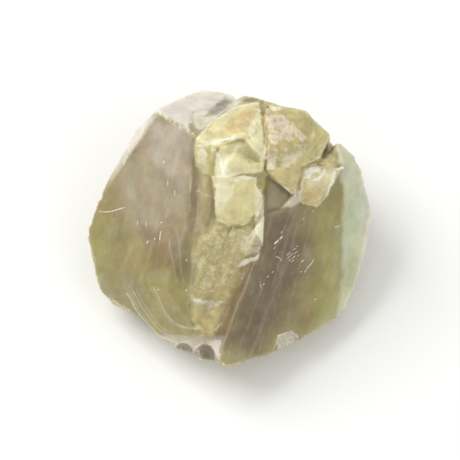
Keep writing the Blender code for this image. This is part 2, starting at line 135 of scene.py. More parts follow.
# Where each pigment lies on the show side: the outline of a patch, how soft its edge is, and how
# thickly it lies
PATCHES = {
    "taupe": [
        ([(-25, 33), (-13, 31.5), (-10.6, 27), (-11.2, 8), (-14, -7), (-21, -9), (-31, 2), (-35, 12),
          (-31, 23)], 8, 0.9),
        ([(-12.5, 22), (-6.4, 15), (-5.2, 4), (-8, -2), (-13, -2)], 3, 0.6),
        ([(10, 14), (18.3, 10.8), (20.4, 5.8), (11.9, 4.6), (10, 1.6)], 1.4, 0.3),
    ],
    "brown": [
        ([(9.8, 6), (15, 5.4), (20, 6), (23, -4), (21, -16), (15.6, -27), (9, -37), (3, -37), (-1, -32),
          (1.8, -25), (8.4, -6)], 11, 0.85),
        ([(9.6, 3.6), (18.4, 4.6), (19.4, 0.4), (16.4, -10.6), (12.7, -19.1), (8.4, -31.4),
          (6.6, -35.4), (1, -33), (3.1, -21), (8.4, -8)], 1.6, 0.7),
        ([(10, 15), (18.3, 11.4), (20.4, 5.8), (11.9, 4.6), (10, 1.6)], 2, 0.25),
        # painted shade along the valley left of the crust
        ([(-12.4, 24), (-9.4, 24), (-9, 6), (-10, -2), (-12.8, -2)], 3, 0.5),
        ([(-18, 0), (-11, -1), (-11.6, -12), (-15, -19), (-17.5, -12)], 3.6, 0.42),
        ([(-35, 6), (-31.6, 6), (-31.6, -4), (-35, -4)], 4, 0.35),
        ([(-30.9, 23.2), (-28.5, 25.3), (-26, 23.8), (-27.9, 20.1), (-30.3, 19.5)], 2.4, 0.35),
        ([(-24, -5), (-17, -5), (-17, -12), (-23, -11)], 6, 0.35),
    ],
    "green": [
        ([(-43, 4), (-37, 4), (-35.5, -12), (-40, -18), (-43, -16)], 5, 0.5),
        ([(-26, -14), (-13, -16), (-12, -33), (-24, -31)], 6, 0.65),
        ([(27, 6), (33, 10), (33.4, -26), (24, -33)], 7, 0.95),
        ([(24, 14), (33, 17), (33, 4), (26, 4)], 4, 0.5),
    ],
    "pale_green": [
        ([(30, 26), (32, 20), (33.1, 12), (33.4, 0), (33.2, -14), (31, -31), (46, -31),
          (46, 26)], 3.6, 0.8),
        ([(29, 2), (36, 6), (36, -34), (26, -38)], 8, 0.35),
        ([(-3, -35), (2, -33), (9, -37), (7, -43), (-3.4, -43)], 6, 0.35),
        ([(-43, -14), (-37, -12), (-33, -22), (-38, -26)], 4, 0.35),
    ],
    "rust": [
        ([(-28, -14), (-12, -16), (-9, -32), (-22, -31)], 6, 0.34),
        ([(-28, 3), (-16, -2), (-15, -14), (-25, -13)], 8, 0.5),
        ([(-8.6, -12), (-2, -12.4), (-2, -19.6), (-8.6, -19)], 4, 0.55),
        ([(3.4, -8), (8, -9), (-1.6, -36), (-5, -36)], 2.4, 0.55),
        ([(-1.4, -10), (4.8, -11), (2.4, -21), (-3, -19)], 4, 0.45),
    ],
    "lilac": [
        # a painted sheen over the upper left face, on the stone's own lilac grey
        ([(-23.6, 31.4), (-14.4, 30.4), (-11.9, 27.4), (-12.2, 15.5), (-17.5, 14), (-21.7, 18),
          (-24.2, 22.5)], 5, 0.75),
        ([(-16, 15), (-12.6, 16), (-12.8, 4), (-15, 6)], 3, 0.4),
        ([(13, 9), (18.4, 10), (20.4, 6), (15.6, 4.6)], 4, 0.25),
    ],
    "straw": [
        ([(-5.6, 3.6), (8.6, 3), (7.2, -5), (0.4, -20), (-3.4, -32), (-11, -32.6), (-12.6, -22),
          (-11, -8), (-8.8, 0)], 4.4, 0.62),
        ([(26.2, 19), (29.6, 24.6), (31.6, 22.4), (32, 18.4), (29, 17.2)], 1, 0.95),
        ([(10.4, 37.4), (22.5, 35), (29.8, 27.4), (26.8, 20.4), (19, 9.2), (12, 14.6),
          (10.4, 17)], 0.8, 0.95),
        ([(-10.6, 25), (-4.6, 25), (-4.6, 15), (-8, 16), (-10.6, 19)], 1, 0.8),
        ([(-9.6, 17), (-5.4, 15), (-4.6, 4), (-5.6, 1), (-11.6, -3), (-9.6, 5)], 2.4, 0.4),
    ],
    "yellow": [
        ([(-10.4, 25), (-9.4, 27), (-3.6, 32.6), (2.4, 36.6), (8.9, 37.2), (9.8, 30), (10.6, 23.4),
          (9.9, 18), (9.2, 16.4), (-0.6, 15), (-4.6, 14.8), (-3.6, 24)], 0.7, 0.8),
        ([(-5.2, 15.1), (-4.6, 10.8), (-3.6, 1.9), (-0.6, 0.5), (2.4, 0.2), (5.5, 1.4), (7.9, 4.7),
          (9.6, 8.8), (7.9, 12), (7.8, 14.8)], 0.7, 0.95),
        ([(21.6, 17.6), (25.7, 18.4), (33.2, 17.5), (30.4, 13), (26.9, 7.4), (25.7, 6.5), (21.4, 7.2),
          (20, 9), (21, 12)], 0.6, 0.9),
        ([(26.4, 19.2), (29.6, 24.4), (31.6, 22.4), (31.8, 18.6), (29, 17.6)], 1, 0.5),
    ],
    "moss": [
        ([(-1.3, 25.2), (3.6, 26.4), (5.5, 24.3), (8.5, 21.2), (7.9, 18.7), (5.5, 18.7), (3, 21.2),
          (0.3, 22.4), (-1.3, 23)], 1, 0.5),
        # the pit and the groove at the hood's left: olive, darkened in part as painted shade
        ([(7.9, 15.6), (9.4, 17), (11.2, 15.6), (11.2, 13), (9.6, 11.2), (7.9, 12.8)], 0.6, 0.9),
        ([(8.8, 37), (11, 36.4), (11.6, 28), (10.6, 22), (9.8, 26), (10, 31)], 0.8, 0.7),
        ([(17, 35.8), (21, 34.6), (28.6, 28.4), (25.4, 24), (21, 29)], 2, 0.15),
        ([(-6.2, 20.3), (-4.8, 19.4), (-4.8, 15.7), (-5.8, 15.4)], 0.5, 0.6),
        ([(-9.6, -8), (-7, -6), (-3, -9.6), (-6, -12)], 2, 0.5),
        ([(-4, 0.6), (1.8, -0.4), (1.2, -4), (-3.6, -4.6)], 2, 0.45),
    ],
    "orange": [
        ([(-1.9, 29.2), (-1.3, 31.3), (2.4, 34), (6.1, 35.8), (8.2, 36.2), (7.6, 32.8), (4.9, 27.6),
          (1.2, 26.7), (-1.6, 27.6)], 2, 0.6),
        ([(-2.6, 6), (6, 6.6), (6.4, 3.4), (0, 1.4)], 4, 0.4),
        ([(21.4, 12.6), (24.8, 12.2), (28.8, 12.4), (27.4, 8.4), (24.6, 6.6), (21.6, 7.4),
          (20.4, 9.4)], 2.5, 0.55),
        ([(24.6, 15.8), (26, 15.9), (26.2, 15.1), (24.8, 15)], 0.6, 0.6),
        ([(28.4, 16.4), (30, 16.8), (29.6, 13.6), (28.2, 14)], 1, 0.5),
        ([(8.8, 37), (11, 36.4), (11.2, 30), (10.2, 27), (9.8, 30)], 0.8, 0.9),
        ([(-9, 27), (-5, 28.6), (-3, 26.4), (-8, 25.4)], 2, 0.35),
    ],
    "cream": [
        ([(31.6, 22.4), (30.4, 24.6), (32.4, 25), (34.2, 20), (32.4, 18.4)], 1, 0.5),
        ([(30.4, 24.4), (29, 27), (33.4, 26.6), (32.2, 23.2)], 1, 0.6),
        ([(-11.4, 33.8), (-4, 37), (2, 39), (4, 37.6), (-2, 33.6), (-9, 28.6), (-11, 29)], 2.4, 0.6),
        ([(9.4, -4), (8.6, -7.4), (5, -8.4), (2.6, -6), (3.4, -3), (5.6, -0.6), (8, 1)], 2, 0.45),
        ([(21.4, 17), (26, 18), (32, 17.2), (28.6, 12), (24, 11), (21, 12)], 2, 0.4),
        ([(-10.2, 23.6), (-6.4, 23.6), (-6.4, 17), (-9.8, 19.6)], 1.6, 0.45),
        ([(-4.6, 22.6), (-1.8, 21.8), (0.6, 15.4), (-0.6, 14.6), (-4, 14.8), (-4.6, 18)], 1.2, 0.8),
        ([(-1.9, 21.8), (2.4, 20.6), (6.1, 18.1), (8.6, 17.6), (8.8, 15.6), (1.8, 14.5),
          (-0.6, 15.1)], 2, 0.4),
        ([(4.9, 27.9), (9.2, 33.7), (10.6, 25.5), (10.4, 21.4), (8.6, 21.6), (6.4, 24.6)], 1, 0.6),
        ([(-5, 14), (-0.6, 14.4), (1, 10.4), (-2.4, 3.6), (-4.4, 6)], 3.6, 0.8),
        ([(-4.2, 14.8), (7.8, 14.8), (7.8, 13.6), (-4.4, 13.6)], 0.8, 0.8),
        ([(7.4, 12), (9.8, 9.6), (9.6, -5), (6.8, -2), (7.4, 6)], 1, 0.9),
        ([(-10, 25.4), (3.6, 27), (4.2, 26), (-4, 24.4)], 0.8, 0.7),
        ([(15.9, 21.2), (21.1, 23.3), (19.4, 19), (16.4, 17), (14.6, 18)], 2, 0.6),
        ([(-9, 32), (-2, 35.6), (2, 37), (0, 35.2), (-6, 31), (-9, 28.8)], 1.2, 0.7),
        ([(31.8, 23.6), (33.6, 22), (34.6, 18.6), (31.8, 18.4)], 1.4, 0.6),
        ([(-8.6, 2.2), (-6.4, 1.6), (-6.6, -5), (-9, -4)], 2, 0.3),
    ],
    "pink": [
        ([(10.7, 33.4), (15.9, 34.1), (17.4, 31.9), (19.6, 30.1), (22.9, 26.7), (21.4, 24.3),
          (19.6, 26.1), (17.1, 24.9), (15.3, 26.1), (12.8, 24.3), (11, 25.5)], 1.6, 0.56),
        ([(10.7, 36.6), (15.9, 36.2), (16.2, 34.9), (12.2, 34.3)], 1, 0.6),
        ([(10.6, 25), (14.4, 23.6), (14, 16.4), (10.8, 17.5)], 1.6, 0.49),
        ([(14, 24), (23.4, 26), (22.4, 22), (16, 16), (13.6, 18)], 2, 0.46),
    ],
    "haze": [
        # the stone's own pale haze over the top facets and the rims, with a painted sheen on it
        ([(-25.6, 34), (-21.8, 34.4), (-17.8, 32.4), (-14.3, 30.4), (-11.8, 28.6), (-11.4, 32.4),
          (-8, 34), (-4, 36.4), (4, 39.4), (6, 43), (-27, 43)], 1.8, 0.9),
        ([(-36, 15), (-31.8, 20.5), (-28, 25), (-24, 31), (-22, 34), (-38, 34)], 5, 0.9),
        ([(33, 25), (32.4, 18), (34, 12), (40, 10), (42, 25)], 3, 0.25),
        ([(38, 16), (46, 16), (46, -20), (38.6, -12)], 7, 0.5),
        ([(-24, -31.8), (-16, -32.2), (-1, -31.8), (-3, -40), (-15, -37)], 3.4, 0.58),
        # a painted highlight on the ledge over the recess
        ([(14, 5.6), (17.4, 8.6), (19.6, 11), (21, 10.4), (20.8, 7.4), (18, 6)], 1.4, 0.7),
    ],
    "umber": [
        # painted shade in the groove at the hood's left and in the pit
        ([(8.8, 37), (11, 36.4), (11.2, 30), (10.6, 22), (9.8, 26), (9.8, 30)], 0.8, 0.4),
        ([(7.9, 15.6), (9.4, 17), (11.2, 15.6), (11.2, 13), (9.6, 11.2), (7.9, 12.8)], 0.6, 0.3),
        ([(-7.4, 33.6), (-6.4, 35.6), (-4.6, 37.6), (-1.8, 40), (0.8, 39), (-0.8, 36.8),
          (-3.8, 34.4)], 2.2, 0.85),
        ([(-12.4, 33), (-11, 35.4), (-6, 36), (-6, 35), (-10.4, 34.2), (-11.2, 31.6)], 1, 0.35),
        # painted shade in the recess at the top of the valley
        ([(-12.4, 31.6), (-10.8, 31.4), (-9.8, 28.2), (-11.6, 28.8)], 1.4, 0.8),
        ([(-3.9, 33.6), (0.3, 35.4), (0.9, 34.8), (-3.3, 32.8)], 0.6, 0.6),
        # painted shade in the two scallops at the bottom
        ([(-17.2, -37.4), (-16, -34.9), (-13.6, -33.9), (-11.4, -34.9), (-10.2, -38.6),
          (-14, -40)], 0.5, 0.85),
        ([(-10.8, -38), (-9.9, -35.2), (-7.8, -33.9), (-5.4, -35), (-3.9, -38.6), (-6, -43),
          (-10, -41)], 0.5, 0.85),
    ],
    "frost": [
        ([(-10, -1), (-3, 1), (6, 1), (6, -6), (2, -14), (-0.6, -20), (-9.6, -19.6),
          (-11, -10)], 3, 0.36),
        ([(-20, -33), (-13, -32.6), (-3, -32.6), (-4, -34), (-13, -34), (-18, -34.6)], 1.6, 0.3),
        ([(-12, -18.8), (-8.4, -20.4), (-3.6, -21.4), (-1, -20.6), (-1.6, -23), (-6, -24.6),
          (-11, -22.4)], 4, 0.6),
        ([(-10.2, 23), (-7, 22), (-6.6, 17), (-9.6, 19.4)], 1.4, 0.5),
        ([(1.8, -11.6), (3.6, -9.6), (7, -8.4), (8.8, -6.8), (8.6, -9.2), (5.4, -10.8)], 1.4, 0.75),
        ([(-1.4, -2.4), (8.6, 1), (9.2, -4), (6, -6.6), (2, -5.4)], 3, 0.4),
        ([(10.6, 22), (14, 20.4), (13.4, 16.4), (11, 16.8)], 1, 0.5),
        ([(-33, 20.4), (-29.7, 26.2), (-25.4, 32.3), (-24.2, 31.6), (-27.9, 24.6), (-32, 18.8)], 1, 0.5),
        ([(4.4, -2.6), (9.4, -4.4), (8.8, -9), (5.8, -9.4), (3.6, -8.4), (4, -5)], 1.2, 0.35),
        ([(-9.6, -21), (-3, -20.4), (-2, -27), (-7.6, -27)], 3, 0.36),
        ([(-9, 17), (-5.4, 15), (-4.6, 4), (-5.6, 1), (-11, -3), (-9, 5)], 2.4, 0.22),
        ([(-6.8, -33.4), (-1.7, -32.8), (-3.7, -38.6)], 0.8, 0.7),
        ([(14, -31.4), (18.1, -30.4), (21, -33), (13.6, -38.4)], 0.6, 0.55),
        ([(-38, -20), (-30, -24), (-23, -31.6), (-25, -34), (-40, -24)], 1.2, 0.5),
        ([(41, 8), (43, 5), (42, -10), (40.6, -4)], 1, 0.5),
    ],
    "white": [
        ([(21.6, 13.6), (22, 16.6), (23.8, 18.2), (26.8, 17.9), (26.4, 16.6), (24.4, 16),
          (23.4, 14)], 1, 0.8),
        ([(23.4, 13.4), (25.8, 13.4), (27.4, 14.8), (28.2, 17.2), (27.4, 17.4), (26.4, 15.2),
          (24.8, 14.2)], 0.7, 0.65),
        ([(31.4, 17.4), (30.8, 13.2), (28.6, 9.6), (27.8, 9.4), (29.6, 13.4), (30.2, 16.8)], 0.9, 0.65),
        ([(31.2, 17.4), (33.6, 18.1), (33.6, 17.2), (31.4, 16.9)], 0.5, 0.8),
        ([(22, 12.4), (20.8, 9.6), (19.6, 9.4), (20.8, 12.4), (21.6, 15.2), (22.6, 15)], 0.8, 0.4),
        ([(7, 2.4), (9.4, 3), (9.5, -5.8), (8, -8.6), (5, -9.4), (7.6, -5.4), (8, -1)], 1.6, 0.3),
        ([(-4.4, 22.4), (-3.4, 22), (-1, 15.4), (-1.8, 15.2), (-3, 19)], 0.6, 0.5),
    ],
}

# Pigments that lie so softly that they run on round the edge of the show side
WASHES = ("taupe", "green", "brown", "pale_green", "haze")

# Which parts of the show side are granular, not glassy: an outline, and how granular it is
GRANULAR_EDGE = 0.8  # millimetres on each side of the outline
GRANULAR = [
    (PATCHES["yellow"][0][0], 0.45),
    (PATCHES["yellow"][1][0], 0.25),
    (PATCHES["yellow"][2][0], 0.5),
    (PATCHES["straw"][0][0], 0.7),
    (PATCHES["straw"][1][0], 0.65),
    (PATCHES["straw"][2][0], 0.6),
    ([(-22, -31), (-2, -31), (-1, -42), (-24, -36)], 0.35),
    ([(-9.4, 17), (-5.4, 15), (-4.6, 4), (-5.6, 1), (-11.6, -3), (-9.4, 5)], 0.25),
    ([(-27, 30.6), (-10, 27), (6, 38), (6, 44), (-24, 44)], 0.12),
]

# What shows on the sides that the photograph hides: the size of the blotches, the noise at which
# they start and are full, and how thickly they lie or how granular they are
HIDDEN_GRANULAR = (15.0, -0.15, 0.30, 0.7)
HIDDEN_PATCHES = {
    "taupe": (30.0, -0.30, 0.30, 0.8),
    "brown": (24.0, 0.05, 0.50, 0.45),
    "green": (20.0, -0.10, 0.40, 0.6),
    "pale_green": (26.0, 0.05, 0.50, 0.5),
    "straw": (13.0, 0.05, 0.45, 0.4),
    "haze": (22.0, 0.10, 0.55, 0.35),
}

# Fine lines where the stone split or flaked: the points that each follows, how high it stands,
# how wide it is, and how much it whitens the stone
WHITE_WIDTH = 0.6  # of a line's width is white
CREASES = {
    "slab_edge": ([(-9.4, 24.2), (-5.2, 24.6), (-1.6, 25.8), (3.6, 26.7), (6.1, 24.5),
                   (9.8, 20.6)], 0.1, 0.4, 0.8),
    "slab_back": ([(-9.8, 26.1), (-4.6, 32.2), (2.4, 36.2), (8.5, 37.1)], 0.15, 0.5, 0.8),
    "slab_ridge": ([(4, 27.4), (6.6, 30.6), (8.6, 34.6)], 0.1, 0.4, 0.4),
    "tooth_top": ([(-4.8, 14.8), (0, 14.6), (7.8, 14.6)], 0.1, 0.5, 0.4),
    "tooth_left": ([(-4.8, 14.6), (-4.4, 9), (-3.6, 2)], 0.1, 0.4, 0.4),
    "foot_left": ([(-10.6, -8), (-11.4, -15), (-11.2, -20.6)], 0.1, 0.6, 0.22),
    "pink_line": ([(-11.8, -19.6), (-9.6, -21.2), (-5, -22.2), (-1.4, -21.6)], 0.1, 0.6, 0.3),
    "hood_foot": ([(12, 14.6), (15, 12.8), (19, 9.6)], 0.1, 0.5, 0.7),
    "ridge": ([(9.6, 2), (9.2, -5), (3, -21), (-2.4, -35)], 0.1, 0.5, 0.22),
    "rim_crack": ([(31.6, 0.3), (36, 2), (41.8, 5.2)], 0.05, 0.3, 0.25),
    "top_step": ([(-12, 31.8), (-11, 34.8), (-4.5, 36.8), (2.4, 38.8)], -0.2, 0.7, 0),
    "stripe_low": ([(28.9, 26.2), (27.4, 23.4), (25.3, 20.6)], 0.06, 0.4, 0.3),
    "stripe_middle": ([(28, 26.9), (26.4, 24), (24, 21)], 0.06, 0.35, 0.25),
    "stripe_high": ([(26.8, 27.6), (25.2, 24.8), (22.8, 21.8)], 0.06, 0.35, 0.2),
    "vein_right": ([(-15.6, -1), (-14.6, -6), (-14.5, -11), (-13.6, -16)], 0.05, 0.35, 0.2),
    "vein_left": ([(-18, -3.5), (-17.5, -7.7), (-16, -12.6), (-15.8, -16.1)], 0.05, 0.35, 0.18),
    "facet_line": ([(19.9, 0.4), (16.9, -10.6), (13.2, -19.1), (10.7, -25.3), (8.9, -31.4),
                    (6.2, -37.5)], 0.04, 1, 0.1),
    "scallop_left": ([(-17.4, -36.4), (-15.8, -34.4), (-13.5, -33.6), (-11.4, -34.6),
                      (-10.4, -36.4)], 0.05, 0.5, 0.5),
    "scallop_right": ([(-10.4, -36.4), (-9.6, -34.6), (-7.6, -33.6), (-5.2, -34.8),
                       (-3.4, -38.6)], 0.05, 0.5, 0.6),
}

# The lower left corner split off in layers, whose edges lie between an outer and an inner one: how
# far in each of them lies, from 0 to 1, and how much it whitens the stone
LAYER_EDGES = (
    [(-30.9, -19.6), (-29, -22.8), (-27, -25.6), (-24, -29.4), (-21, -32.6), (-16, -34)],
    [(-22.4, -17.5), (-21.1, -20.4), (-19.8, -23.9), (-16.8, -27.9), (-12.8, -29.8), (-8.8, -29.4)],
)
LAYERS = {0.0: 0.7, 0.1: 0.3, 0.24: 0.45, 0.38: 0.3, 0.92: 0.2, 1.0: 0.45}
for share, whiteness in LAYERS.items():
    between = [
        (a + share * (c - a), b + share * (d - b)) for (a, b), (c, d) in zip(*LAYER_EDGES)
    ]
    CREASES[f"layer_{share}"] = (between, 0.12, 0.35, whiteness)

# Painted glints: white lines on the glassy faces, for the white of scratches and for the light that
# they catch. Where each starts and ends, and how wide it is. The real scratches are as fine as hairs,
# and these are drawn as wide as they need to be to show.
SCRATCH_GLINT_REACH = 0.8  # of that width, on each side of its middle, until it has faded out
SCRATCH_GLINTS = [
    ((13.2, -4.6), (14.1, -3.7), 0.42), ((14.7, -3.2), (15.3, -2.6), 0.34),
    ((13, -6.1), (13.4, -5.5), 0.24), ((15.1, -1.5), (15.3, -1.1), 0.18),
    ((16.8, -8), (17.7, -7.3), 0.16), ((18.4, -6.6), (19.6, -6), 0.14),
    ((17.5, -9.7), (19.3, -8.3), 0.15), ((18.1, -10.2), (18.9, -9.4), 0.16),
    ((17, -9), (18.6, -7.6), 0.12), ((19, -7.6), (19.9, -6.9), 0.12),
    ((20, -8.4), (20.3, -8.1), 0.2), ((21.3, -10), (21.8, -9.6), 0.24),
    ((24.8, -9.4), (24.2, -10.6), 0.18), ((24.2, -10.6), (23, -11.8), 0.18),
    ((23, -11.8), (22.1, -13.2), 0.14), ((20.8, -13.1), (21.2, -12.9), 0.2),
    ((11, -14.5), (11.3, -14.1), 0.2), ((12.4, -13.2), (12.8, -12.8), 0.16),
    ((8.8, -15.8), (9.2, -17.6), 0.12), ((9.9, -16.8), (10.1, -16.4), 0.16),
    ((13.5, -8.4), (14.6, -8.8), 0.13), ((14.6, -8.8), (15.2, -9.7), 0.13),
    ((19.8, -5.5), (20, -5.2), 0.18), ((24.4, 4.9), (24.6, 5.1), 0.2),
    ((21.7, 2.6), (21.9, 2.9), 0.16), ((31.3, 0.2), (32.4, 0.6), 0.16),
    ((25.3, -21.4), (25.6, -21.2), 0.3), ((-39.8, 5.1), (-37.3, 4.8), 0.16),
    ((-37.3, 4.8), (-34.9, 5.2), 0.18), ((-34.9, 5.2), (-31.5, 6.2), 0.2),
    ((-20.5, -1.1), (-20.8, -3.5), 0.22), ((-24.6, -4.5), (-24.4, -3.9), 0.24),
    ((-22.3, -3.4), (-22.2, -3), 0.16), ((-20.4, 1.5), (-20.1, 1.8), 0.22),
    ((-18.4, 14), (-18.4, 12.6), 0.14), ((-19.9, 19.3), (-19.5, 19.9), 0.2),
    ((-21.3, -18.3), (-21.1, -18.1), 0.24), ((-12.9, -18.4), (-12.6, -18), 0.3),
    ((-24.4, -20.4), (-24.3, -20), 0.2), ((-12.9, -9.7), (-12.6, -9.2), 0.22),
    ((-4.2, -29.9), (-2.6, -28), 0.26), ((-16.4, 11), (-16.2, 9.4), 0.12),
    ((-27.6, 2), (-27.4, 1), 0.12), ((-25, 1.8), (-24.9, 0.6), 0.12),
]

# Hollows that are worn soft, and how many rounds of smoothing wear each
SOFTENED_EDGE = 1.2  # millimetres on each side of the outline
SOFTENED = [
    ([(-15, 25.6), (-9, 25.6), (-6.6, 15), (-5.6, 2), (-7.6, 0.4), (-10.4, -6), (-10.6, -22),
      (-16, -22), (-20, -7), (-15.6, 4), (-15, 12)], 60),
    ([(-5, 26.6), (4.6, 28.6), (8, 22), (2, 20.6), (-4, 22.6)], 24),
    ([(9, 18), (21.6, 10.6), (19, 3.6), (9.4, -0.6)], 16),
    ([(26, 18.6), (29, 26.6), (34.4, 26), (34, 17.4), (29, 16.8)], 40),
    ([(18.4, 8), (21.6, 8), (22.6, 17), (24, 20.4), (20.6, 20.4), (18.4, 12)], 20),
    ([(-5.2, 12.2), (8.2, 12), (8.8, 17.6), (-5.2, 17.4)], 160),
    ([(0, -6.6), (10.6, -5.6), (10.6, -13), (0, -13.6)], 24),
    ([(-13.4, -17.6), (3.6, -17.6), (0.6, -26), (-11, -26)], 40),
    ([(-5.4, 1.6), (6, 2.6), (5, -1.4), (-4.6, -1.6)], 10),
]

# The relief of the broken surfaces, in millimetres: the size of each form and its height. Steps
# counts the levels of the steps, and Ledge share is how much of a full ledge there is.
RELIEF = {
    "Lump size": 4.2,
    "Lump height": 0.8,
    "Grit size": 1.1,
    "Grit height": 0.22,
    "Swell size": 11.0,
    "Swell height": 0.5,
    "Step size": 5.0,
    "Step height": 0.06,
    "Steps": 7.0,
    "Chip size": 2.6,
    "Chip depth": 0.9,
    "Ledge spacing": 3.8,
    "Column size": 10.0,
    "Ledge share": 0.8,
}
LEDGED_AREA = 14.0  # how large the areas are that broke in ledges
CHIPPED_BENDS = (radians(3), radians(12))  # where an edge starts to chip, and where it is worst

# Blender's names for the kinds of node that are used most, and the setting that eases a ramp
MATH, VECTOR, RAMP = "ShaderNodeMath", "ShaderNodeVectorMath", "ShaderNodeMapRange"
EASED = {"interpolation_type": "SMOOTHSTEP"}

# The three ways that calcite splits here, as the planes' outward normals in show coordinates
CLEAVAGE = {
    "left": Vector((-0.645, 0.150, 0.750)),
    "right": Vector((0.500, -0.233, 0.834)),
    "back": Vector((0.164, 0.897, 0.410)),
}

# The studio, in metres: the floor, and where each soft light stands, its size and its watts
FLOOR_SIZE = 6.0
PAPER = "F7F7F5"
LIGHTS = {
    "key": ((-0.75, 0.45, 1.0), 0.9, 11.0),
    "fill": ((0.9, -0.5, 0.8), 1.0, 3.0),
}
SKY = 0.65  # of the even white light from all round

# The camera looks straight down on the show side from about arm's length, in millimetres
CAMERA_AWAY = 800.0
PICTURE_WIDTH = 138.0  # what the picture spans where the lump's outline is
OUTLINE_HEIGHT = -4.0  # of that outline over the middle
PICTURE_MIDDLE = (0.0, -0.6)
SENSOR = 36.0  # an ordinary one's width


def linear(hex_colour):
    """An sRGB hex colour as linear red, green, blue and alpha."""
    channels = [int(hex_colour[i:i + 2], 16) / 255 for i in (0, 2, 4)]
    return (*(c / 12.92 if c <= 0.04045 else ((c + 0.055) / 1.055) ** 2.4 for c in channels), 1)


def smooth(low, high, values):
    """From 0 at low to 1 at high, with soft ends."""
    t = np.clip((values - low) / (high - low), 0, 1)
    return t * t * (3 - 2 * t)


def corners_of(mesh):
    """A mesh's corners in show coordinates, and the ways they face."""
    points = np.empty(len(mesh.vertices) * 3, np.float32)
    mesh.vertices.foreach_get("co", points)
    faces = np.empty(len(mesh.vertices) * 3, np.float32)
    mesh.vertex_normals.foreach_get("vector", faces)
    turn = np.array(SEEN.to_3x3())
    middle = np.array(SEEN.translation)
    return (points.reshape(-1, 3) - middle) @ turn / MM, faces.reshape(-1, 3) @ turn


def distance_to(places, line):
    """How far each place is from an open line through some points."""
    nearest = np.full(len(places), np.inf)
    x, y = places[:, 0], places[:, 1]
    for start, end in zip(line, line[1:]):
        dx, dy = end[0] - start[0], end[1] - start[1]
        along = np.clip(((x - start[0]) * dx + (y - start[1]) * dy) / (dx * dx + dy * dy), 0, 1)
        nearest = np.minimum(nearest, np.hypot(x - start[0] - along * dx, y - start[1] - along * dy))
    return nearest


def depth_inside(places, outline):
    """How far each place is inside a closed outline. Outside it, the number is negative."""
    closed = outline + outline[:1]
    inside = np.zeros(len(places), bool)
    x, y = places[:, 0], places[:, 1]
    for start, end in zip(closed, closed[1:]):
        dx, dy = end[0] - start[0], end[1] - start[1]
        if dy:
            crossed = (start[1] > y) != (end[1] > y)
            inside ^= crossed & (x < start[0] + (y - start[1]) * dx / dy)
    nearest = distance_to(places, closed)
    return np.where(inside, nearest, -nearest)


def rounded(line):
    """The line with its corners cut off twice."""
    for _ in range(2):
        cut = [line[0]]
        for (a, b), (c, d) in zip(line, line[1:]):
            cut.append((0.75 * a + 0.25 * c, 0.75 * b + 0.25 * d))
            cut.append((0.25 * a + 0.75 * c, 0.25 * b + 0.75 * d))
        line = [*cut, line[-1]]
    return line


def beside(places, line, width):
    """1 on the line with its corners rounded off, and softly down to 0 on both sides of it."""
    return np.exp(-(distance_to(places, rounded(line)) / width) ** 2)


def store(mesh, name, values):
    """Keep one number for each corner under a name."""
    attribute = mesh.attributes.new(name, "FLOAT", "POINT")
    attribute.data.foreach_set("value", values.astype(np.float32))


def swirl(points, size, reach):
    """A smooth random shift across the show side for each point, which changes over the size."""
    return reach * np.array([noise.noise_vector(Vector(point) / size)[:2] for point in points])


def blotches(points, seed, size, low, high, strength):
    """Blotches of one size over the whole lump, from 0 to the strength."""
    offset = Vector((3.7, 1.9, 5.3)) * seed
    lumps = np.array([noise.noise(Vector(point) / size + offset) for point in points])
    return smooth(low, high, lumps) * strength


def on_show_side(points, facing):
    """1 where the show side is, and 0 where the photograph can't see."""
    return smooth(-0.06, 0.12, facing[:, 2]) * smooth(-30, -24, points[:, 2])


def by_show_side(facing):
    """1 on the show side, and softly down to 0 on the sides that turn away from it."""
    return smooth(-0.75, 0.1, facing[:, 2])


def thinness(mesh):
    """Near 1 where little stone lies behind a corner, and 0 where it is thick."""
    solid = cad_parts["calcite"].data
    inside = BVHTree.FromPolygons(
        [corner.co for corner in solid.vertices], [face.vertices for face in solid.polygons]
    )
    behind = np.zeros(len(mesh.vertices))
    for corner in mesh.vertices:
        start = corner.co - corner.normal * UNDER_SKIN * MM
        hit = inside.ray_cast(start, -corner.normal)
        behind[corner.index] = hit[3] / MM if hit[3] else 0.0
    return 1 - smooth(*THIN_STONE, behind)


def mark_relief(mesh):
    """Say how granular each corner is, where ledges may show, and how far the creases lift it."""
    points, facing = corners_of(mesh)
    shown = on_show_side(points, facing)
    places = points[:, :2] + swirl(points, *LINE_WANDER)
    granular = np.zeros(len(points))
    for outline, strength in GRANULAR:
        patch = smooth(-GRANULAR_EDGE, GRANULAR_EDGE, depth_inside(places, outline))
        granular = np.maximum(granular, patch * strength)
    crushed = blotches(points, 0, *HIDDEN_GRANULAR)
    store(mesh, "granular", granular * shown + crushed * (1 - shown))
    store(mesh, "ledged", np.maximum(0.4 * granular * shown, 1 - smooth(-0.4, 0.0, facing[:, 2])))
    lift = np.zeros(len(points))
    for line, height, width, _ in CREASES.values():
        lift += height * beside(places, line, width)
    store(mesh, "crease", lift * shown)


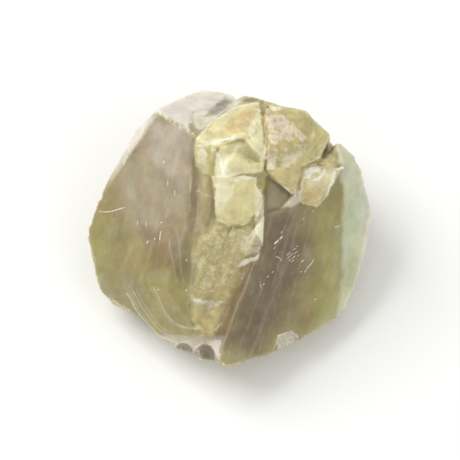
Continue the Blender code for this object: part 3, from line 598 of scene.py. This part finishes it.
def paint(mesh):
    """Lay every pigment on the mesh's corners."""
    points, facing = corners_of(mesh)
    shown = on_show_side(points, facing)
    near = by_show_side(facing)
    places = points[:, :2] + swirl(points, *LINE_WANDER)
    creased = np.zeros(len(points))
    for line, _, width, whiteness in CREASES.values():
        creased = np.maximum(creased, whiteness * beside(places, line, WHITE_WIDTH * width))
    store(mesh, "creased", creased * shown)
    store(mesh, "shown", shown)
    # where the stone is thin, the shader paints light coming through it
    store(mesh, "thin", thinness(mesh) * (1 - PALE_ALREADY * shown))
    places += swirl(points, *PATCH_WANDER[0]) + swirl(points, *PATCH_WANDER[1])
    for pigment in PIGMENTS:
        cover = np.zeros(len(points))
        for outline, soft, strength in PATCHES.get(pigment, []):
            patch = smooth(-soft / 2, soft / 2, depth_inside(places, outline))
            cover = np.maximum(cover, patch * strength)
        cover *= near if pigment in WASHES else shown
        if pigment in HIDDEN_PATCHES:
            cover += (1 - near) * blotches(points, len(pigment), *HIDDEN_PATCHES[pigment])
        store(mesh, pigment, cover)


def evaluated(obj):
    """Put the object's modifiers into its mesh, and take them off."""
    depsgraph = bpy.context.evaluated_depsgraph_get()
    mesh = bpy.data.meshes.new_from_object(obj.evaluated_get(depsgraph))
    old = obj.data
    obj.modifiers.clear()
    obj.data = mesh
    bpy.data.meshes.remove(old)


def make_skin():
    """A fine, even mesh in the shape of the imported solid."""
    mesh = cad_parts["calcite"].data.copy()
    bm = bmesh.new()
    bm.from_mesh(mesh)
    bmesh.ops.remove_doubles(bm, verts=bm.verts, dist=0.001 * MM)
    bm.to_mesh(mesh)
    bm.free()
    stone = bpy.data.objects.new("calcite_lump", mesh)
    bpy.context.scene.collection.objects.link(stone)
    remesh = stone.modifiers.new("even skin", "REMESH")
    remesh.mode = "VOXEL"
    remesh.voxel_size = SKIN_CELL * MM
    evaluated(stone)
    drop_crumbs(stone.data)
    return stone


def drop_crumbs(mesh):
    """Keep only the largest piece that hangs together."""
    bm = bmesh.new()
    bm.from_mesh(mesh)
    pieces = []
    left = set(bm.verts)
    while left:
        front = {left.pop()}
        piece = set(front)
        while front:
            front = {edge.other_vert(corner) for corner in front for edge in corner.link_edges} & left
            left -= front
            piece |= front
        pieces.append(piece)
    for crumb in sorted(pieces, key=len)[:-1]:
        bmesh.ops.delete(bm, geom=list(crumb), context="VERTS")
    bm.to_mesh(mesh)
    bm.free()


def set_down(mesh):
    """Grind off what would stand below the floor."""
    points = np.empty(len(mesh.vertices) * 3, np.float32)
    mesh.vertices.foreach_get("co", points)
    points[2::3] = np.maximum(points[2::3], 0)
    mesh.vertices.foreach_set("co", points)


def soften(stone):
    """Wear the hollows soft."""
    for outline, rounds in SOFTENED:
        points, facing = corners_of(stone.data)
        inside = smooth(-SOFTENED_EDGE, SOFTENED_EDGE, depth_inside(points, outline))
        inside *= on_show_side(points, facing)
        group = stone.vertex_groups.new(name="softened")
        for corner in np.flatnonzero(inside > 0.01):
            group.add([int(corner)], inside[corner], "REPLACE")
        wear = stone.modifiers.new("softened", "SMOOTH")
        wear.vertex_group = group.name
        wear.factor = 0.6
        wear.iterations = rounds
        evaluated(stone)
        stone.vertex_groups.clear()


def start_tree(name, kind, inputs, outputs):
    """A node tree with its named inputs and outputs, and what its inputs give."""
    tree = bpy.data.node_groups.new(name, kind)
    for side, sockets in (("INPUT", inputs), ("OUTPUT", outputs)):
        for socket, carries in sockets.items():
            tree.interface.new_socket(socket, in_out=side, socket_type=f"NodeSocket{carries}")
    return tree, put(tree, "NodeGroupInput").outputs


def build_relief():
    """Geometry Nodes that break a smooth skin: lumps and grit, cleavage steps and chipped edges."""
    inputs = {"Geometry": "Geometry", **dict.fromkeys(RELIEF, "Float"), "Material": "Material"}
    tree, given = start_tree("broken_stone", "GeometryNodeTree", inputs, {"Geometry": "Geometry"})
    place = show_coordinates(tree, put(tree, "GeometryNodeInputPosition"))
    granular, crease, ledged = (
        put(tree, "GeometryNodeInputNamedAttribute", {"Name": name})
        for name in ("granular", "crease", "ledged")
    )
    glassy = put(tree, MATH, (1.0, granular), operation="SUBTRACT")

    # the noise behind each form. Steps run along the grain, so theirs is drawn out along it.
    waves = {}
    for form, where, seed, detail in (
        ("Lump", place, 11.0, 2.0), ("Grit", place, 23.0, 3.0), ("Swell", place, 37.0, 1.0),
        ("Step", drawn_out(tree, place, 0.9), 0.0, 1.0), ("Chip", place, 0.0, 2.0),
    ):
        shifted = put(tree, VECTOR, (where, (seed, seed, seed)), operation="ADD")
        finer = put(tree, MATH, (1.0, given[f"{form} size"]), operation="DIVIDE")
        fine = {"Vector": shifted, "Scale": finer, "Detail": detail}
        waves[form] = put(tree, "ShaderNodeTexNoise", fine)

    # creases, lumps, grit and long swells
    parts = [crease]
    for form, where in (("Lump", granular), ("Grit", granular), ("Swell", glassy)):
        high = put(tree, MATH, (waves[form], 0.5), operation="SUBTRACT")
        for share in (given[f"{form} height"], where):
            high = put(tree, MATH, (high, share), operation="MULTIPLY")
        parts.append(high)

    # steps: treads with a soft riser between them
    count = put(tree, MATH, (waves["Step"], given["Steps"]), operation="MULTIPLY")
    level = put(tree, MATH, (count,), operation="FLOOR")
    part_way = put(tree, MATH, (count,), operation="FRACT")
    riser = put(tree, RAMP, {"Value": part_way, "From Min": 0.75}, **EASED)
    high = put(tree, MATH, (level, riser), operation="ADD")
    for share in (given["Step height"], glassy):
        high = put(tree, MATH, (high, share), operation="MULTIPLY")
    parts.append(high)

    # chips come off the edges that stick out
    bend = put(tree, "GeometryNodeInputMeshEdgeAngle").outputs["Signed Angle"]
    bend = put(tree, "GeometryNodeBlurAttribute", {"Value": bend, "Iterations": 3})
    chipped = {"Value": bend, "From Min": CHIPPED_BENDS[0], "From Max": CHIPPED_BENDS[1]}
    edge = put(tree, RAMP, chipped, **EASED)
    high = put(tree, RAMP, {"Value": waves["Chip"], "From Min": 0.42, "From Max": 0.66})
    for share in (edge, given["Chip depth"], -1.0):
        high = put(tree, MATH, (high, share), operation="MULTIPLY")
    parts.append(high)

    total = parts[0]
    for part in parts[1:]:
        total = put(tree, MATH, (total, part), operation="ADD")
    metres = put(tree, MATH, (total, MM), operation="MULTIPLY")
    facing = put(tree, "GeometryNodeInputNormal")
    move = put(tree, VECTOR, {0: facing, "Scale": metres}, operation="SCALE")

    # ledges: where the surface runs aslant a cleavage plane, it goes in treads along that plane
    depths = {}
    for name, way in CLEAVAGE.items():
        deep = put(tree, VECTOR, (place, way), operation="DOT_PRODUCT")
        depths[name] = deep.outputs["Value"]
    for seed, (name, way) in enumerate(CLEAVAGE.items()):
        # each column of stone between the other two planes split at a depth of its own
        columns = {2: float(seed)}
        for axis, deep in enumerate(deep for other, deep in depths.items() if other != name):
            column = put(tree, MATH, (deep, given["Column size"]), operation="DIVIDE")
            uneven = put(tree, "ShaderNodeTexNoise", {"W": column, "Scale": 1.0}, noise_dimensions="1D")
            column = put(tree, MATH, (column, uneven), operation="ADD")
            columns[axis] = put(tree, MATH, (column,), operation="FLOOR")
        column = put(tree, "ShaderNodeCombineXYZ", columns)
        split = put(tree, "ShaderNodeTexWhiteNoise", {"Vector": column}, noise_dimensions="3D")
        spacing = given["Ledge spacing"]
        level = put(tree, MATH, (depths[name], spacing), operation="DIVIDE")
        level = put(tree, MATH, (level, split), operation="ADD")
        part_way = put(tree, MATH, (level,), operation="FRACT")
        # a tread sinks slowly, and its last fifth is the riser
        high = put(tree, RAMP, {"Value": part_way, "From Min": 0.8}, **EASED)
        high = put(tree, MATH, (high, part_way), operation="SUBTRACT")
        high = put(tree, MATH, (high, 0.3), operation="ADD")

        lump_way = SEEN.to_3x3() @ way
        slant = put(tree, VECTOR, (facing, lump_way), operation="DOT_PRODUCT")
        slant = {"Value": slant.outputs["Value"], "From Min": 0.25, "From Max": 0.5}
        slant = put(tree, RAMP, slant, **EASED)
        coarse = {"Vector": place, "Scale": 1 / LEDGED_AREA, "Detail": 1.0, "W": 3.0 * seed}
        area = put(tree, "ShaderNodeTexNoise", coarse, noise_dimensions="4D")
        area = put(tree, RAMP, {"Value": area, "From Min": 0.36, "From Max": 0.46}, **EASED)
        for share in (spacing, given["Ledge share"], ledged, slant, area, MM):
            high = put(tree, MATH, (high, share), operation="MULTIPLY")
        ledge = put(tree, VECTOR, {0: lump_way, "Scale": high}, operation="SCALE")
        move = put(tree, VECTOR, (move, ledge), operation="ADD")

    worn = {"Geometry": given["Geometry"], "Name": "worn", "Value": edge}
    kept = put(tree, "GeometryNodeStoreNamedAttribute", worn, data_type="FLOAT", domain="POINT")
    broken = put(tree, "GeometryNodeSetPosition", {"Geometry": kept, "Offset": move})
    real = put(tree, "GeometryNodeRealizeInstances", {"Geometry": broken})
    dressed = put(tree, "GeometryNodeSetMaterial", {"Geometry": real, "Material": given["Material"]})
    put(tree, "NodeGroupOutput", {"Geometry": dressed})
    return tree


def break_skin(stone, material):
    """Give the even skin the relief of broken stone."""
    mark_relief(stone.data)
    relief = stone.modifiers.new("broken stone", "NODES")
    relief.node_group = build_relief()
    for item in relief.node_group.interface.items_tree:
        if item.name in RELIEF:
            relief[item.identifier] = RELIEF[item.name]
        elif item.name == "Material":
            relief[item.identifier] = material
    evaluated(stone)


def thin_skin(stone):
    """Take triangles away, mostly where the show side can't be seen."""
    _, facing = corners_of(stone.data)
    hidden = facing[:, 2] < 0.05
    group = stone.vertex_groups.new(name="hidden")
    group.add(np.flatnonzero(~hidden).tolist(), SPARED, "REPLACE")
    group.add(np.flatnonzero(hidden).tolist(), 1.0, "REPLACE")
    triangles = sum(len(face.vertices) - 2 for face in stone.data.polygons)
    thin = stone.modifiers.new("thinned", "DECIMATE")
    thin.ratio = MOST_TRIANGLES / triangles
    thin.vertex_group = group.name
    thin.vertex_group_factor = 10.0
    evaluated(stone)
    stone.vertex_groups.clear()


def put(tree, kind, inputs=(), **settings):
    """Add a node with its settings, and give its inputs, by name or in order, values or links."""
    node = tree.nodes.new(kind)
    for name, value in settings.items():
        setattr(node, name, value)
    for socket, value in inputs.items() if isinstance(inputs, dict) else enumerate(inputs):
        if isinstance(value, bpy.types.Node):
            value = value.outputs[0]
        if isinstance(value, bpy.types.NodeSocket):
            tree.links.new(value, node.inputs[socket])
        else:
            node.inputs[socket].default_value = value
    return node


def show_coordinates(tree, position):
    """Show coordinates of a position, in millimetres."""
    level = put(tree, VECTOR, (position, SEEN.translation), operation="SUBTRACT")
    turn = {"Vector": level, "Angle": -SHOW_LEAN}
    upright = put(tree, "ShaderNodeVectorRotate", turn, rotation_type="X_AXIS")
    return put(tree, VECTOR, {0: upright, "Scale": 1 / MM}, operation="SCALE")


def drawn_out(tree, place, share):
    """Places closer together along the stone's grain, so that a pattern there is drawn out."""
    along = put(tree, VECTOR, (place, GRAIN_WAY), operation="DOT_PRODUCT")
    most = put(tree, MATH, (along.outputs["Value"], share), operation="MULTIPLY")
    closer = put(tree, VECTOR, {0: GRAIN_WAY, "Scale": most}, operation="SCALE")
    return put(tree, VECTOR, (place, closer), operation="SUBTRACT")


def lay(tree, place, under, pigment):
    """One pigment over the colours under it, broken up by its own grain."""
    hex_colour, ragged, grain = PIGMENTS[pigment]
    cover = put(tree, "ShaderNodeAttribute", attribute_name=pigment).outputs["Fac"]
    fine = {"Vector": place, "Scale": 1 / grain, "Detail": 5.0, "Roughness": 0.6}
    breakup = put(tree, "ShaderNodeTexNoise", fine)
    held_back = put(tree, MATH, (breakup, ragged), operation="MULTIPLY")
    most = put(tree, MATH, (cover, 1 + ragged), operation="MULTIPLY")
    share = put(tree, MATH, (most, held_back), operation="SUBTRACT", use_clamp=True)
    over = {0: share, 6: under, 7: linear(hex_colour)}
    return put(tree, "ShaderNodeMix", over, data_type="RGBA").outputs[2]


def build_scratch_glint():
    """A shader group for a painted glint: 1 on the straight line from Start along Way, seen from in
    front, and 0 off it.
    """
    inputs = {"Place": "Vector", "Start": "Vector", "Way": "Vector", "Reach": "Float"}
    tree, given = start_tree("scratch_glint", "ShaderNodeTree", inputs, {"Mark": "Float"})
    place, start, way = given["Place"], given["Start"], given["Way"]
    off = put(tree, VECTOR, (place, start), operation="SUBTRACT")
    off = put(tree, VECTOR, (off, (1, 1, 0)), operation="MULTIPLY")
    along = put(tree, VECTOR, (off, way), operation="DOT_PRODUCT")
    whole = put(tree, VECTOR, (way, way), operation="DOT_PRODUCT")
    lengths = (along.outputs["Value"], whole.outputs["Value"])
    part_way = put(tree, MATH, lengths, operation="DIVIDE", use_clamp=True)
    nearest = put(tree, VECTOR, {0: way, "Scale": part_way}, operation="SCALE")
    away = put(tree, VECTOR, (off, nearest), operation="DISTANCE")
    fall = {"Value": away.outputs["Value"], "From Min": given["Reach"], "From Max": 0.0, "To Max": 1.3}
    put(tree, "NodeGroupOutput", {"Mark": put(tree, RAMP, fall)})
    return tree


def make_calcite():
    """Green calcite, broken by hand: glassy where it split, granular where it crushed.

    To the eye it is a waxy olive stone with a soft sheen on its flat faces, a little light inside
    it and paler veils along its grain, and over that a dull, crumbly crust in yellow, cream and pink.
    """
    material = bpy.data.materials.new("green_calcite")
    material.use_nodes = True
    tree = material.node_tree
    tree.nodes.clear()
    place = show_coordinates(tree, put(tree, "ShaderNodeTexCoord").outputs["Object"])
    granular, creased, worn, shown, thin = (
        put(tree, "ShaderNodeAttribute", attribute_name=name).outputs["Fac"]
        for name in ("granular", "creased", "worn", "shown", "thin")
    )
    glassy = put(tree, MATH, (1.0, granular), operation="SUBTRACT")
    patterns = {}
    for name, (stretch, size, detail, roughness) in PATTERNS.items():
        where = drawn_out(tree, place, stretch) if stretch else place
        fine = {"Vector": where, "Scale": 1 / size, "Detail": detail, "Roughness": roughness}
        patterns[name] = put(tree, "ShaderNodeTexNoise", fine)

    # the glassy stone's hue drifts between a warm and a cool olive, and the crust lies over it
    drift = put(tree, RAMP, {"Value": patterns["drift"], "From Min": 0.3, "From Max": 0.7})
    tint = put(tree, "ShaderNodeMix", {0: drift, 6: WARM, 7: COOL}, data_type="RGBA").outputs[2]
    colour = linear(OLIVE)
    for pigment in PIGMENTS:
        if pigment == LOWEST_CRUST:
            colour = put(tree, VECTOR, (colour, tint), operation="MULTIPLY")
        colour = lay(tree, place, colour, pigment)

    # painted light: thin stone is paled as if light came through it, and veils hang inside the glassy
    # stone
    clear = put(tree, MATH, (thin, THIN_GLOW_MOST), operation="MULTIPLY")
    veil = {"Value": patterns["veil"], "From Min": 0.50, "From Max": 0.80, "To Max": VEIL_MOST}
    veil = put(tree, RAMP, veil)
    veil = put(tree, MATH, (veil, glassy), operation="MULTIPLY")
    for share, hex_colour in ((clear, THIN_GLOW_COLOUR), (veil, VEIL_COLOUR)):
        over = {0: share, 6: colour, 7: linear(hex_colour)}
        colour = put(tree, "ShaderNodeMix", over, data_type="RGBA").outputs[2]

    # light and dark: streaks in the glassy stone, clouds everywhere, mottling in the granular
    for name, where in (("streak", glassy), ("cloud", 1.0), ("mottle", granular)):
        shade = put(tree, MATH, (patterns[name], 0.5), operation="SUBTRACT")
        for share in (4 * SWINGS[name], where):
            shade = put(tree, MATH, (shade, share), operation="MULTIPLY")
        shade = put(tree, MATH, (shade, 1.0), operation="ADD")
        colour = put(tree, VECTOR, {0: colour, "Scale": shade}, operation="SCALE")

    # healed cracks run through the granular stone as broken pale lines
    bent = {0: patterns["bend"].outputs["Color"], "Scale": 2.4}
    bent = put(tree, VECTOR, bent, operation="SCALE")
    bent = put(tree, VECTOR, (bent, place), operation="ADD")
    cells = {"Vector": bent, "Scale": 1 / HEALED_SPACING}
    healed = put(tree, "ShaderNodeTexVoronoi", cells, feature="DISTANCE_TO_EDGE")
    healed = {"Value": healed, "From Min": 0.06, "From Max": 0.0, "To Max": HEALED_MOST}
    healed = put(tree, RAMP, healed)
    healed = put(tree, MATH, (healed, granular), operation="MULTIPLY")

    # broken edges and creases are white with tiny cracks
    cracks = put(tree, RAMP, {"Value": patterns["cracks"], "From Min": 0.35, "From Max": 0.65})
    fewer = put(tree, RAMP, {"Value": cracks, "To Min": 0.5})
    split = put(tree, MATH, (creased, fewer), operation="MULTIPLY")
    edge = worn
    turns = ((WORN_MOST, "MULTIPLY"), (healed, "MAXIMUM"), (cracks, "MULTIPLY"), (split, "MAXIMUM"))
    for by, how in turns:
        edge = put(tree, MATH, (edge, by), operation=how)

    # painted glints: scratches and a few specks are whitened, for the light they catch and for their own
    # white
    specks = put(tree, "ShaderNodeTexVoronoi", {"Vector": place, "Scale": 1 / SPECK_SPACING}).outputs
    rare = put(tree, RAMP, {"Value": specks["Color"], "From Min": 0.70, "From Max": 0.72})
    painted_glints = put(tree, RAMP, {"Value": specks["Distance"], "From Min": 0.11, "From Max": 0.05})
    for share in (rare, SPECK_GLINT_MOST):
        painted_glints = put(tree, MATH, (painted_glints, share), operation="MULTIPLY")
    scratch_glint = build_scratch_glint()
    for start, end, width in SCRATCH_GLINTS:
        line = {"Start": (*start, 0), "Way": (end[0] - start[0], end[1] - start[1], 0)}
        line |= {"Place": place, "Reach": SCRATCH_GLINT_REACH * width}
        line = put(tree, "ShaderNodeGroup", line, node_tree=scratch_glint)
        painted_glints = put(tree, MATH, (painted_glints, line), operation="MAXIMUM")
    rubbed = put(tree, RAMP, {"Value": patterns["rubbed"], "From Min": 0.3, "From Max": 0.5})
    for share in (shown, rubbed):
        painted_glints = put(tree, MATH, (painted_glints, share), operation="MULTIPLY", use_clamp=True)
    for share, hex_colour in ((edge, CRACKED_COLOUR), (painted_glints, PAINTED_GLINT_COLOUR)):
        over = {0: share, 6: colour, 7: linear(hex_colour)}
        colour = put(tree, "ShaderNodeMix", over, data_type="RGBA").outputs[2]

    # the sheen goes where the stone is granular or cracked, and fine pits and streaks dent it
    rough = put(tree, MATH, (granular, edge), operation="MAXIMUM")
    rough = put(tree, RAMP, {"Value": rough, "To Min": ROUGHNESS[0], "To Max": ROUGHNESS[1]})
    pits = put(tree, MATH, (patterns["pits"], granular), operation="MULTIPLY")
    lines = patterns["streak"]
    for share in (glassy, 0.15):
        lines = put(tree, MATH, (lines, share), operation="MULTIPLY")
    height = put(tree, MATH, (pits, lines), operation="ADD")
    bump = {"Height": height, "Strength": 0.6, "Distance": PIT_DEPTH * MM}

    stone = {
        "Base Color": colour,
        "Roughness": rough,
        "IOR": IOR,
        "Subsurface Weight": 1.0,
        "Subsurface Radius": LIGHT_REACH,
        "Subsurface Scale": MM,
        "Normal": put(tree, "ShaderNodeBump", bump),
    }
    shader = put(tree, "ShaderNodeBsdfPrincipled", stone)
    put(tree, "ShaderNodeOutputMaterial", {"Surface": shader})
    return material


def make_floor():
    """A floor of plain white paper, matt and almost white: the only thing round the lump."""
    bpy.ops.mesh.primitive_plane_add(size=FLOOR_SIZE)
    floor = bpy.context.object
    floor.name = "floor"
    paper = bpy.data.materials.new("white_paper")
    paper.use_nodes = True
    shader = paper.node_tree.nodes["Principled BSDF"]
    shader.inputs["Base Color"].default_value = linear(PAPER)
    shader.inputs["Roughness"].default_value = 0.9
    floor.data.materials.append(paper)


def make_lights():
    """Two soft studio lights, and an even white light from all round."""
    for name, (place, size, power) in LIGHTS.items():
        light = bpy.data.lights.new(name, "AREA")
        light.size = size
        light.energy = power
        lamp = bpy.data.objects.new(name, light)
        lamp.location = place
        lamp.rotation_euler = (-Vector(place)).to_track_quat("-Z", "Y").to_euler()
        bpy.context.scene.collection.objects.link(lamp)
    world = bpy.data.worlds.new("studio")
    world.use_nodes = True
    sky = world.node_tree.nodes["Background"]
    sky.inputs["Color"].default_value = (1, 1, 1, 1)
    sky.inputs["Strength"].default_value = SKY
    bpy.context.scene.world = world


def make_camera():
    """The photograph's view: straight down on the show side, from about arm's length."""
    camera = bpy.data.cameras.new("camera")
    camera.sensor_width = SENSOR
    camera.lens = SENSOR * (CAMERA_AWAY - OUTLINE_HEIGHT) / PICTURE_WIDTH
    eye = bpy.data.objects.new("camera", camera)
    eye.matrix_world = SEEN @ Matrix.Translation(Vector((*PICTURE_MIDDLE, CAMERA_AWAY)) * MM)
    bpy.context.scene.collection.objects.link(eye)
    bpy.context.scene.camera = eye


noise.seed_set(NOISE_SEED)
stone = make_skin()
soften(stone)
break_skin(stone, make_calcite())
set_down(stone.data)
thin_skin(stone)
paint(stone.data)
stone.data.shade_smooth()
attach(stone, "root")
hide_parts("calcite")

make_floor()
make_lights()
make_camera()
bpy.context.scene.view_settings.view_transform = "Standard"
